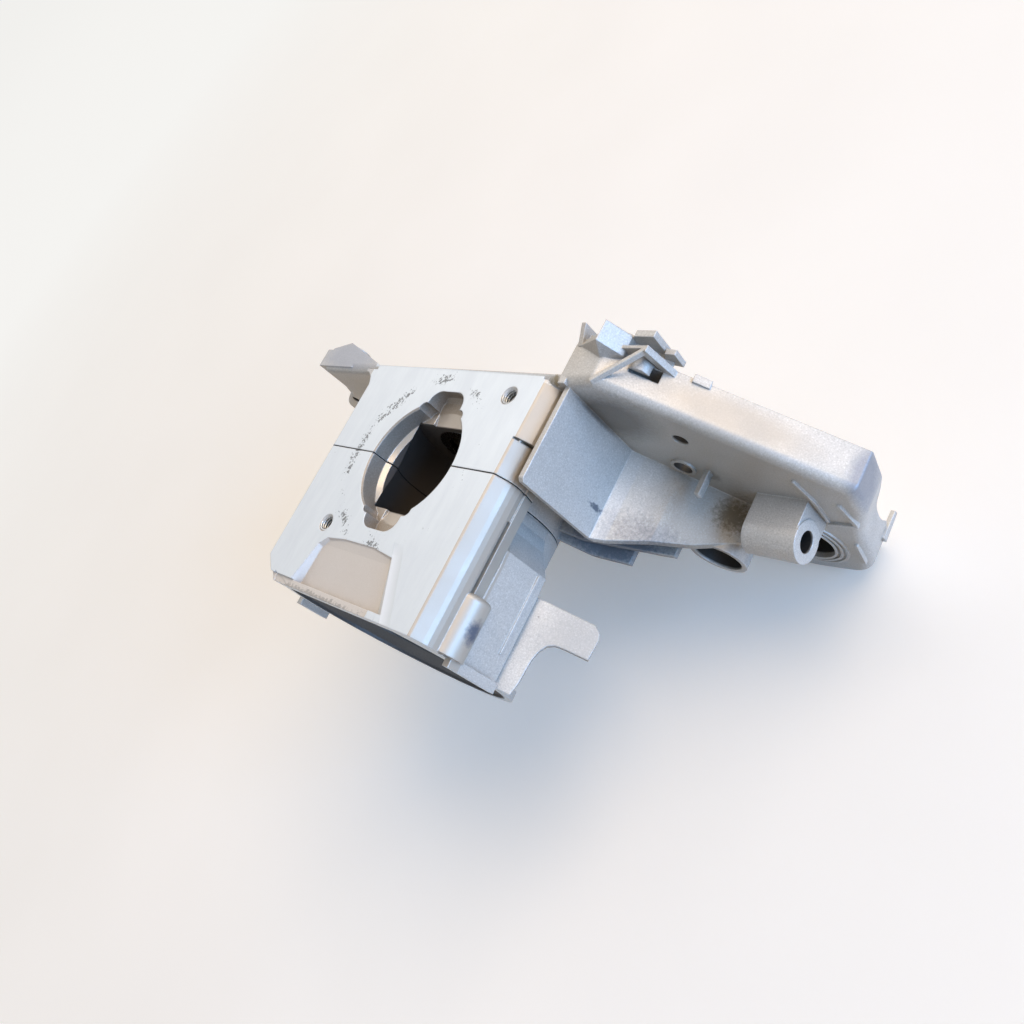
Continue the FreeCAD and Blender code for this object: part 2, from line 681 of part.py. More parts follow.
def caseScrew(x, z):
    seat = bellFloorY
    head = cylY(screwHeadR, x, z, seat - screwHeadHigh, seat)
    rim = [e for e in head.Edges if abs(e.BoundBox.YMax - (seat - screwHeadHigh)) < 0.01]
    head = head.makeFillet(0.6, rim)
    drive = prismY([(x + 2.3 * math.cos(math.radians(60 * i)), z + 2.3 * math.sin(math.radians(60 * i)))
                    for i in range(6)], seat - screwHeadHigh - 1, seat - 2.2)
    shank = cylY(screwR - 0.15, x, z, seat - 0.5, seat + screwLong - 0.5)
    tip = Part.makeCone(screwR - 0.15, screwR - 0.7, 0.5, V(x, seat + screwLong - 0.5, z), V(0, 1, 0))
    return joined([head, shank, tip]).cut(drive)


def dowelPin(x, z):
    pin = cylY(dowelR - seatFit / 2, x, z, -dowelLong / 2, dowelLong / 2)
    return pin.makeChamfer(0.4, [e for e in pin.Edges if e.Closed and len(e.Vertexes) == 1])


# Main bearings

def bearingParts(side):
    y0, y1 = span(side, chamberHalf, chamberHalf + bearingWide)
    middle = (y0 + y1) / 2
    groove = Part.makeTorus(ballPitchR, ballR + 0.05, V(0, middle, 0), V(0, 1, 0))
    outerIn, innerOut = ballPitchR + 1.6, ballPitchR - 1.6
    outer = ringY(bearingR - seatFit, outerIn, y0, y1).cut(groove)
    inner = ringY(innerOut, bearingBoreR, y0, y1).cut(groove)
    cage = ringY(ballPitchR + 1.1, ballPitchR - 1.1, middle - 4.0, middle + 4.0)
    balls = []
    for i in range(ballCount):
        angle = 2 * math.pi * i / ballCount
        outward = V(math.cos(angle), 0, math.sin(angle))
        balls.append(Part.makeSphere(ballR, V(0, middle, 0) + outward * ballPitchR))
        cage = cage.cut(Part.makeCylinder(ballR + 0.1, 20, V(0, middle, 0), outward))
    return outer, inner, cage, Part.makeCompound(balls)


# Crankshaft seals

def sealParts(side):
    near = chamberHalf + bearingWide + sealRest
    y0, y1 = span(side, near, near + sealWide)
    back0, back1 = span(side, near, near + 1.0)
    case = joined([ringY(sealR - seatFit, sealR - 1.0, y0, y1),
                   ringY(sealR - 0.5, sealLipR + 2.6, back0, back1)])
    out = 1 if side > 0 else -1
    n = out * near
    profile = [
        (sealR - 1.0, n + out * 1.0), (sealR - 1.0, n + out * 4.4), (sealR - 2.2, n + out * 4.4),
        (sealR - 2.6, n + out * 2.4), (sealLipR + 2.0, n + out * 2.4), (sealLipR + 1.4, n + out * 4.2),
        (sealLipR, n + out * 3.6), (sealLipR + 0.5, n + out * 2.0), (sealLipR + 2.4, n + out * 1.0),
    ]
    return case, turned(profile)


# Files

def solidOf(shape):
    merged = shape.copy().removeSplitter()
    if not merged.isValid():
        merged.fix(1e-4, 1e-4, 1e-3)
    shape = merged if merged.isValid() else shape
    return shape.Solids[0] if len(shape.Solids) == 1 else shape


def allParts():
    parts = {
        "clutch_side_half": clutchSideHalf(),
        "flywheel_side_half": flywheelSideHalf(),
        "crankcase_gasket": crankcaseGasket(),
    }
    for i, (x, z) in enumerate(screwSpots):
        parts["case_screw_%d" % (i + 1)] = caseScrew(x, z)
    for i, (x, z) in enumerate(dowelSpots):
        parts["dowel_pin_%d" % (i + 1)] = dowelPin(x, z)
    for name, side in (("clutch", -1), ("flywheel", 1)):
        outer, inner, cage, balls = bearingParts(side)
        parts["%s_bearing_outer_ring" % name] = outer
        parts["%s_bearing_inner_ring" % name] = inner
        parts["%s_bearing_cage" % name] = cage
        parts["%s_bearing_balls" % name] = balls
        case, lip = sealParts(side)
        parts["%s_seal_case" % name] = case
        parts["%s_seal_lip" % name] = lip
    return parts


os.makedirs("parts", exist_ok=True)
for nodeName, shape in allParts().items():
    shape = shape if nodeName.endswith("_balls") else solidOf(shape)
    print(nodeName, "solids", len(shape.Solids), "valid", shape.isValid(), "volume", round(shape.Volume))
    shape.exportStep("parts/%s.step" % nodeName)
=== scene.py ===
# Engine crankcase, dressed for rendering. Metres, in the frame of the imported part:
# X along the split towards the fan duct, Y along the crankshaft, Z out of the cylinder seat.
import bpy
import math
from mathutils import Matrix, Vector


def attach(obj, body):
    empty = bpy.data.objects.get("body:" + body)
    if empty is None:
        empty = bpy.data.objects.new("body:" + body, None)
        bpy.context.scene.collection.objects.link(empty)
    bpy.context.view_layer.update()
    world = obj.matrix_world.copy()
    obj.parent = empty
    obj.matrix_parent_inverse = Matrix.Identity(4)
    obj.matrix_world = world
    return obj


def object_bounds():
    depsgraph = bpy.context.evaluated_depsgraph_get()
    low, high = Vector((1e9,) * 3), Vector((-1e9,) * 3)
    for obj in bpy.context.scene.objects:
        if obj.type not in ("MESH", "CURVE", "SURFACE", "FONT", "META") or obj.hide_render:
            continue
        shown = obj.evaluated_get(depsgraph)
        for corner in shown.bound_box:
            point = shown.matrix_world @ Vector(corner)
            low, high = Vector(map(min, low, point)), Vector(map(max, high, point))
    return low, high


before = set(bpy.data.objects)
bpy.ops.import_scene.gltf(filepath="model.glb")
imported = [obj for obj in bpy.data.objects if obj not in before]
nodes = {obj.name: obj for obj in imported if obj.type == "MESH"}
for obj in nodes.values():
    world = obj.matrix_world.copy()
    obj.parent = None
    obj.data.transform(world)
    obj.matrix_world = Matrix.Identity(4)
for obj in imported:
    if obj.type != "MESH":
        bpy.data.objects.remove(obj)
cadBox = [list(corner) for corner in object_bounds()]
scene = bpy.context.scene
print("frame loaded with", len(nodes), "nodes")


# Node helpers

# A socket takes either a link from another node or a fixed value
def setSocket(tree, socket, value):
    if isinstance(value, bpy.types.NodeSocket):
        tree.links.new(value, socket)
    else:
        socket.default_value = value


def addNode(tree, kind, inputs=None, **settings):
    made = tree.nodes.new(kind)
    for name, value in settings.items():
        setattr(made, name, value)
    for name, value in (inputs or {}).items():
        setSocket(tree, made.inputs[name], value)
    return made


def calc(tree, operation, *values):
    made = addNode(tree, "ShaderNodeMath", operation=operation)
    for socket, value in zip(made.inputs, values):
        setSocket(tree, socket, value)
    return made.outputs[0]


def vectorCalc(tree, operation, *values):
    made = addNode(tree, "ShaderNodeVectorMath", operation=operation)
    for socket, value in zip(made.inputs, values):
        setSocket(tree, socket, value)
    return made.outputs["Value"] if operation in ("LENGTH", "DOT_PRODUCT") else made.outputs["Vector"]


def remap(tree, value, low, high, toLow=0.0, toHigh=1.0):
    made = addNode(tree, "ShaderNodeMapRange", {"Value": value, "From Min": low, "From Max": high,
                                                "To Min": toLow, "To Max": toHigh})
    return made.outputs["Result"]


def mixColour(tree, factor, first, second, mode="MIX"):
    made = addNode(tree, "ShaderNodeMix", data_type="RGBA", blend_type=mode)
    for index, value in ((0, factor), (6, first), (7, second)):
        setSocket(tree, made.inputs[index], value)
    return made.outputs[2]


def mixValue(tree, factor, first, second):
    made = addNode(tree, "ShaderNodeMix", data_type="FLOAT")
    for index, value in ((0, factor), (2, first), (3, second)):
        setSocket(tree, made.inputs[index], value)
    return made.outputs[0]


def noise(tree, where, scale, detail=2.0, roughness=0.5):
    return addNode(tree, "ShaderNodeTexNoise", {"Vector": where, "Scale": scale, "Detail": detail,
                                                "Roughness": roughness}).outputs["Fac"]


def stretched(tree, where, factors):
    return addNode(tree, "ShaderNodeMapping", {"Vector": where, "Scale": factors}).outputs["Vector"]


def ownPlace(tree):
    return addNode(tree, "ShaderNodeTexCoord").outputs["Object"]


# The place on the piece itself, whole and split into X, Y and Z
def splitPlace(tree):
    where = ownPlace(tree)
    return where, addNode(tree, "ShaderNodeSeparateXYZ", {"Vector": where}).outputs


# The true facing of a surface, split into X, Y and Z
def surfaceFacing(tree):
    flat = addNode(tree, "ShaderNodeNewGeometry").outputs["True Normal"]
    return addNode(tree, "ShaderNodeSeparateXYZ", {"Vector": flat}).outputs


def allOf(tree, first, *others):
    for other in others:
        first = calc(tree, "MULTIPLY", first, other)
    return first


def above(tree, value, limit):
    return calc(tree, "GREATER_THAN", value, limit)


def below(tree, value, limit):
    return calc(tree, "LESS_THAN", value, limit)


def startGroup(name, inputs, outputs, kind="ShaderNodeTree"):
    tree = bpy.data.node_groups.new(name, kind)
    for label, socketType, value in inputs:
        socket = tree.interface.new_socket(label, in_out="INPUT", socket_type=socketType)
        if value is not None:
            socket.default_value = value
    for label, socketType in outputs:
        tree.interface.new_socket(label, in_out="OUTPUT", socket_type=socketType)
    return tree, addNode(tree, "NodeGroupInput").outputs, addNode(tree, "NodeGroupOutput").inputs


def useGroup(tree, group, inputs=None):
    made = tree.nodes.new("ShaderNodeGroup")
    made.node_tree = group
    for name, value in (inputs or {}).items():
        setSocket(tree, made.inputs[name], value)
    return made.outputs


def colour(code):
    parts = [int(code[i:i + 2], 16) / 255 for i in (0, 2, 4)]
    return [p / 12.92 if p <= 0.04045 else ((p + 0.055) / 1.055) ** 2.4 for p in parts] + [1.0]


# Shared effects

# Sand-cast skin: fine relief, light and dark specks, and broad blotches
def makeCastGrain():
    tree, take, give = startGroup(
        "castGrain",
        [("Grain Size", "NodeSocketFloat", 0.0004), ("Blotch Size", "NodeSocketFloat", 0.02)],
        [("Height", "NodeSocketFloat"), ("Speck", "NodeSocketFloat"), ("Blotch", "NodeSocketFloat")])
    where = ownPlace(tree)
    scale = calc(tree, "DIVIDE", 1.0, take["Grain Size"])
    fine = noise(tree, where, scale, 2.0, 0.6)
    lumps = noise(tree, where, calc(tree, "MULTIPLY", scale, 0.3), 2.0)
    tree.links.new(calc(tree, "ADD", calc(tree, "MULTIPLY", fine, 0.6), calc(tree, "MULTIPLY", lumps, 0.4)),
                   give["Height"])
    apart = vectorCalc(tree, "ADD", where, (0.31, 0.17, 0.05))
    speck = noise(tree, apart, calc(tree, "MULTIPLY", scale, 0.9), 1.0, 0.6)
    tree.links.new(remap(tree, speck, 0.3, 0.72), give["Speck"])
    blotch = noise(tree, where, calc(tree, "DIVIDE", 1.0, take["Blotch Size"]), 4.0, 0.6)
    tree.links.new(remap(tree, blotch, 0.34, 0.68), give["Blotch"])
    return tree


# Edges that hands and tools have rubbed bright, with the softened normal across them
def makeRubbedEdge():
    tree, take, give = startGroup(
        "rubbedEdge", [("Radius", "NodeSocketFloat", 0.0005)],
        [("Mask", "NodeSocketFloat"), ("Normal", "NodeSocketVector")])
    rounded = addNode(tree, "ShaderNodeBevel", {"Radius": take["Radius"]}, samples=6).outputs["Normal"]
    flat = addNode(tree, "ShaderNodeNewGeometry").outputs["True Normal"]
    where = ownPlace(tree)
    turned = calc(tree, "SUBTRACT", 1.0, vectorCalc(tree, "DOT_PRODUCT", rounded, flat))
    broken = remap(tree, noise(tree, where, 900.0, 3.0, 0.6), 0.3, 0.6, 0.35, 1.0)
    tree.links.new(calc(tree, "MULTIPLY", remap(tree, turned, 0.015, 0.14), broken), give["Mask"])
    tree.links.new(rounded, give["Normal"])
    return tree


# Dirt that has settled in corners, and painted shade: ambient occlusion darkens corners and creases where
# shade falls
def makeDirtAndCornerShade():
    tree, take, give = startGroup(
        "dirtAndCornerShade", [("Reach", "NodeSocketFloat", 0.006)], [("Mask", "NodeSocketFloat")])
    shut = addNode(tree, "ShaderNodeAmbientOcclusion", {"Distance": take["Reach"]}, samples=6).outputs["AO"]
    where = ownPlace(tree)
    patchy = remap(tree, noise(tree, where, 260.0, 4.0, 0.6), 0.35, 0.7, 0.5, 1.0)
    tree.links.new(calc(tree, "MULTIPLY", remap(tree, shut, 0.85, 0.25), patchy), give["Mask"])
    return tree


# One ragged mark around a place
def makeSpot():
    tree, take, give = startGroup(
        "spot",
        [("Centre", "NodeSocketVector", (0, 0, 0)), ("Reach", "NodeSocketVector", (0.01, 0.01, 0.01)),
         ("Raggedness", "NodeSocketFloat", 0.5), ("Grain", "NodeSocketFloat", 400.0)],
        [("Mask", "NodeSocketFloat")])
    where = ownPlace(tree)
    away = vectorCalc(tree, "DIVIDE", vectorCalc(tree, "SUBTRACT", where, take["Centre"]), take["Reach"])
    ragged = calc(tree, "MULTIPLY", calc(tree, "SUBTRACT", noise(tree, where, take["Grain"], 3.0, 0.6), 0.5),
                  calc(tree, "MULTIPLY", take["Raggedness"], 3.0))
    reached = calc(tree, "ADD", vectorCalc(tree, "LENGTH", away), ragged)
    tree.links.new(remap(tree, reached, 1.0, 0.45), give["Mask"])
    return tree


# Faces that a cutter has been over: axis, place along it, and which way the face looks
machinedPlanes = {
    "cylinder seat": ("Z", 0.027, 1), "bell rim": ("Y", -0.0495, -1), "rim tabs": ("Y", -0.0517, -1),
    "clutch hub": ("Y", -0.034, -1), "tray rim": ("Y", 0.0426, 1), "flywheel hub": ("Y", 0.035, 1),
    "coil posts": ("Y", 0.0406, 1),
}
seatLeftEnd = -0.0468  # the wing beyond it is as cast


def makeMachinedFaces():
    tree, take, give = startGroup(
        "machinedFaces", [],
        [("Mask", "NodeSocketFloat"), ("Seat", "NodeSocketFloat"), ("Streaks", "NodeSocketFloat")])
    where, place = splitPlace(tree)
    flat = surfaceFacing(tree)
    total, masks = 0.0, {}
    for name, (axis, level, way) in machinedPlanes.items():
        near = calc(tree, "COMPARE", place[axis], level, 0.00008)
        facing = above(tree, calc(tree, "MULTIPLY", flat[axis], float(way)), 0.95)
        masks[name] = allOf(tree, near, facing)
        if name == "cylinder seat":
            masks[name] = allOf(tree, masks[name], above(tree, place["X"], seatLeftEnd))
        total = calc(tree, "MAXIMUM", total, masks[name])
    tree.links.new(total, give["Mask"])
    tree.links.new(masks["cylinder seat"], give["Seat"])
    streaks = noise(tree, stretched(tree, where, (240.0, 60.0, 240.0)), 1.0, 4.0, 0.6)
    tree.links.new(streaks, give["Streaks"])
    return tree


# Drilled and cast holes whose walls get painted shade, a dark colour for the shadow inside them: axis,
# centre, radius, from, to
darkHoles = {
    "plate hole": ("Y", (0.0727, 0.0, 0.0020), 0.00247, 0.0302, 0.034),
    "ringed plate hole": ("Y", (0.0647, 0.0, -0.0132), 0.00297, 0.0290, 0.034),
    "tube": ("Y", (0.0702, 0.0, -0.0383), 0.00750, 0.0143, 0.034),
    "buffer pocket": ("Y", (0.0860, 0.0, -0.0500), 0.01030, 0.0306, 0.0354),
    "buffer pocket floor": ("Y", (0.0860, 0.0, -0.0500), 0.01030, 0.0348, 0.0360),
    "boss bore": ("X", (0.0, 0.0206, -0.0296), 0.00330, 0.0835, 0.1006),
    "wing lug": ("Y", (-0.0859, 0.0, 0.0052), 0.00215, 0.0302, 0.036),
}


def makeHoleShade():
    tree, take, give = startGroup("holeShade", [], [("Mask", "NodeSocketFloat")])
    where, place = splitPlace(tree)
    wall, fade = 0.0003, 0.0006  # how thick the marked shell is, and how soon it turns dark
    total = 0.0
    for name, (axis, centre, radius, near, far) in darkHoles.items():
        across = (1.0, 0.0, 1.0) if axis == "Y" else (0.0, 1.0, 1.0)
        away = vectorCalc(tree, "MULTIPLY", vectorCalc(tree, "SUBTRACT", where, centre), across)
        distance = vectorCalc(tree, "LENGTH", away)
        inside = below(tree, distance, radius)
        if not name.endswith("floor"):
            inside = allOf(tree, inside, above(tree, distance, radius - wall))
        deep = remap(tree, place[axis], near, near + fade)
        if axis == "X":
            deep = allOf(tree, remap(tree, place[axis], far, far - fade), above(tree, place[axis], near))
        total = calc(tree, "MAXIMUM", total, allOf(tree, inside, deep, below(tree, place[axis], far)))
    tree.links.new(total, give["Mask"])
    return tree


# The shallow bevel beside the pocket in the seat
seatBevel = {
    "corner": (0.0168, -0.0310, 0.0), "across": (0.892, 0.4515, 0.0), "width": 0.0042, "depth": 0.0004,
    "backEnd": -0.0265, "backFade": -0.0300,
}


def makeSeatBevel():
    size = seatBevel
    tree, take, give = startGroup(
        "seatBevel", [], [("Height", "NodeSocketFloat"), ("Mask", "NodeSocketFloat")])
    where, place = splitPlace(tree)
    away = vectorCalc(tree, "SUBTRACT", where, size["corner"])
    away = vectorCalc(tree, "DOT_PRODUCT", away, size["across"])
    height = calc(tree, "MAXIMUM", remap(tree, away, 0.0, size["width"]), below(tree, away, -0.0005))
    front = remap(tree, place["Y"], size["backEnd"], size["backFade"])
    tree.links.new(mixValue(tree, front, 1.0, height), give["Height"])
    sloping = allOf(tree, above(tree, away, -0.0001), calc(tree, "SUBTRACT", 1.0, height), front)
    tree.links.new(sloping, give["Mask"])
    return tree


# Hollows: radius and reach of the crank chamber, the cylinder bore and the clutch bell. The chamber and bell
# masks carry painted shade
hollowSizes = {
    "chamberRadius": 0.0256, "chamberHalf": 0.0157, "mouthRadius": 0.0186, "mouthTop": 0.0197,
    "boreReach": 0.0249, "boreTop": 0.02695, "ledgeRadius": 0.0201, "ledgeTop": 0.0211,
    "bellMiddle": (-0.002, 0.0, -0.003), "bellRadius": 0.0383, "bellFloor": -0.0275, "bellRoof": 0.0222,
}


def makeHollows():
    size = hollowSizes
    hollowNames = ("Chamber", "Bore", "Ledge", "Bell")
    tree, take, give = startGroup("hollows", [], [(name, "NodeSocketFloat") for name in hollowNames])
    where, place = splitPlace(tree)
    around = vectorCalc(tree, "LENGTH", vectorCalc(tree, "MULTIPLY", where, (1.0, 1.0, 0.0)))
    along = vectorCalc(tree, "LENGTH", vectorCalc(tree, "MULTIPLY", where, (1.0, 0.0, 1.0)))
    fromBell = vectorCalc(tree, "SUBTRACT", where, size["bellMiddle"])
    fromBell = vectorCalc(tree, "LENGTH", vectorCalc(tree, "MULTIPLY", fromBell, (1.0, 0.0, 1.0)))
    underMouth = below(tree, place["Z"], size["mouthTop"])
    overMouth = above(tree, place["Z"], size["mouthTop"])
    inRound = allOf(tree, below(tree, along, size["chamberRadius"]),
                    below(tree, calc(tree, "ABSOLUTE", place["Y"]), size["chamberHalf"]))
    inMouth = below(tree, around, size["mouthRadius"])
    masks = {
        "Chamber": allOf(tree, calc(tree, "MAXIMUM", inRound, inMouth), underMouth),
        "Ledge": allOf(tree, below(tree, around, size["ledgeRadius"]),
                       below(tree, place["Z"], size["ledgeTop"]), overMouth),
        "Bore": allOf(tree, below(tree, around, size["boreReach"]),
                      below(tree, place["Z"], size["boreTop"]), overMouth),
        "Bell": allOf(tree, below(tree, fromBell, size["bellRadius"]),
                      below(tree, place["Y"], size["bellFloor"]), below(tree, place["Z"], size["bellRoof"])),
    }
    for name in hollowNames:
        tree.links.new(masks[name], give[name])
    return tree


# Crumbs of an old gasket in a broken ring around the bore
def makeGasketTrace():
    tree, take, give = startGroup(
        "gasketTrace", [("Radius", "NodeSocketFloat", 0.0285), ("Width", "NodeSocketFloat", 0.003),
                        ("Amount", "NodeSocketFloat", 0.5)], [("Mask", "NodeSocketFloat")])
    where, place = splitPlace(tree)
    around = vectorCalc(tree, "LENGTH", vectorCalc(tree, "MULTIPLY", where, (1.0, 1.0, 0.0)))
    off = calc(tree, "ABSOLUTE", calc(tree, "SUBTRACT", around, take["Radius"]))
    band = remap(tree, calc(tree, "DIVIDE", off, take["Width"]), 1.0, 0.0)
    leftward = calc(tree, "MULTIPLY", place["X"], -4.0)
    patch = remap(tree, calc(tree, "ADD", noise(tree, where, 105.0, 1.0), leftward), 0.42, 0.62)
    crumbs = noise(tree, where, 1050.0, 3.0, 0.7)
    total = calc(tree, "ADD", crumbs, allOf(tree, band, patch, take["Amount"]))
    tree.links.new(remap(tree, total, 0.74, 0.8), give["Mask"])
    return tree


castGrain = makeCastGrain()
rubbedEdge = makeRubbedEdge()
dirtAndCornerShade = makeDirtAndCornerShade()
spotMark = makeSpot()
machinedFaces = makeMachinedFaces()
hollows = makeHollows()
gasketTrace = makeGasketTrace()
holeShade = makeHoleShade()
bevelBesidePocket = makeSeatBevel()
print("shared effects ready")


# Materials

def startMaterial(name, **sockets):
    material = bpy.data.materials.new(name)
    material.use_nodes = True
    tree = material.node_tree
    shader = tree.nodes["Principled BSDF"]
    for label, value in sockets.items():
        shader.inputs[label.replace("_", " ")].default_value = value
    return material, tree, shader.inputs


# Colours of the cast alloy. Painted light among them: the rail's warm tone, the near white of the bevel, the
# dark of the chamber, bell and holes, and part of the corner dirt's darkness, which is painted shade
castLook = {
    "skin": colour("cbc4ba"), "darkSpeck": colour("aaa399"), "paleSpeck": colour("e0dbd3"),
    "blotch": colour("c0b8ad"), "machined": colour("e6e8e6"), "machinedWorn": colour("dfe1e0"),
    "rail": colour("b6a896"), "edge": colour("f2eee8"), "dirtAndShade": colour("453e36"), "bore": colour("c4b6a6"),
    "ledge": colour("c9bdae"), "chamber": colour("6d645c"), "bell": colour("2b2c2e"),
    "bevel": colour("fbfcfd"), "recess": colour("dcd0c3"), "trace": colour("55524c"),
    "hole": colour("1f1d1b"), "grainSize": 0.0004, "grainDepth": 0.000035, "blotchSize": 0.022,
    "edgeRadius": 0.0005, "dirtAndShadeReach": 0.007, "ledgeRoughness": 0.24, "markGrain": 900.0,
}
# Where the pocket in the seat and the smooth rail beside the seat lie
pocketZone = {"front": -0.0295, "floor": 0.0222, "top": 0.02694, "right": 0.030}
railZone = {"left": 0.0372, "right": 0.0462, "back": 0.0299, "bottom": 0.0098}
# Stains and painted shade: small stains, and patches that paint shade or a shadow where marked in the lists:
# where, how far they reach, how ragged, colour, strength
clutchMarksAndPaintedShade = [
    # Painted shade: the dent in the pad is painted dark and cool
    ((0.0452, -0.0406, 0.0126), (0.0022, 0.0048, 0.0032), 0.25, "59606e", 0.95),
    # A broad, faint darker patch on the side of the clutch half below the rail
    ((0.0520, -0.0300, -0.0200), (0.0180, 0.0180, 0.0140), 0.3, "a09a92", 0.45),
    ((0.0390, -0.0260, -0.0130), (0.0030, 0.0012, 0.0030), 0.9, "6d665c", 0.8),
    ((0.0460, -0.0360, -0.0170), (0.0020, 0.0030, 0.0030), 0.9, "6d665c", 0.7),
    ((-0.0100, -0.0492, 0.0262), (0.0240, 0.0010, 0.0010), 1.4, "7b746a", 0.5),
]
flywheelMarksAndPaintedShade = [
    ((0.0438, 0.0314, 0.0260), (0.0030, 0.0020, 0.0020), 0.7, "8d7a55", 0.8),
    ((0.0488, 0.0086, -0.0046), (0.0012, 0.0011, 0.0038), 0.7, "4f5763", 0.85),
    # Painted shade: a broad darker patch over the sloping duct wall
    ((0.0680, 0.0220, -0.0260), (0.0180, 0.0240, 0.0200), 0.12, "857968", 0.6),
    # Painted shadow at the foot of the hook
    ((0.0725, 0.0292, -0.0172), (0.0034, 0.0034, 0.0034), 0.3, "3d382f", 0.6),
    ((0.0765, 0.0245, -0.0290), (0.0080, 0.0062, 0.0070), 0.45, "54462a", 0.75),
    # Painted shade on the upper left of the plate, under the overhang of the sloping top
    ((0.0540, 0.0300, 0.0110), (0.0190, 0.0020, 0.0140), 0.12, "4a433c", 0.8),
    # Painted shade: the plate made darker all over
    ((0.0760, 0.0300, -0.0010), (0.0420, 0.0020, 0.0300), 0.12, "938876", 0.45),
    # Painted shade: the end wall of the tray made darker and cooler
    ((0.1165, 0.0360, -0.0200), (0.0040, 0.0110, 0.0320), 0.12, "7c7e88", 0.65),
    # Painted shade: a broad, warm darker patch between the plate and the tray rim
    ((0.0900, 0.0365, 0.0070), (0.0320, 0.0062, 0.0230), 0.12, "b9ab99", 0.7),
    # Painted shade: the top of the wing made darker and cooler
    ((-0.0660, 0.0360, 0.0270), (0.0260, 0.0090, 0.0014), 0.2, "a2a6b0", 0.6),
    # Painted shade: the lower ribs made darker and bluer
    ((0.0450, 0.0060, -0.0220), (0.0280, 0.0110, 0.0160), 0.2, "4a505b", 0.75),
]


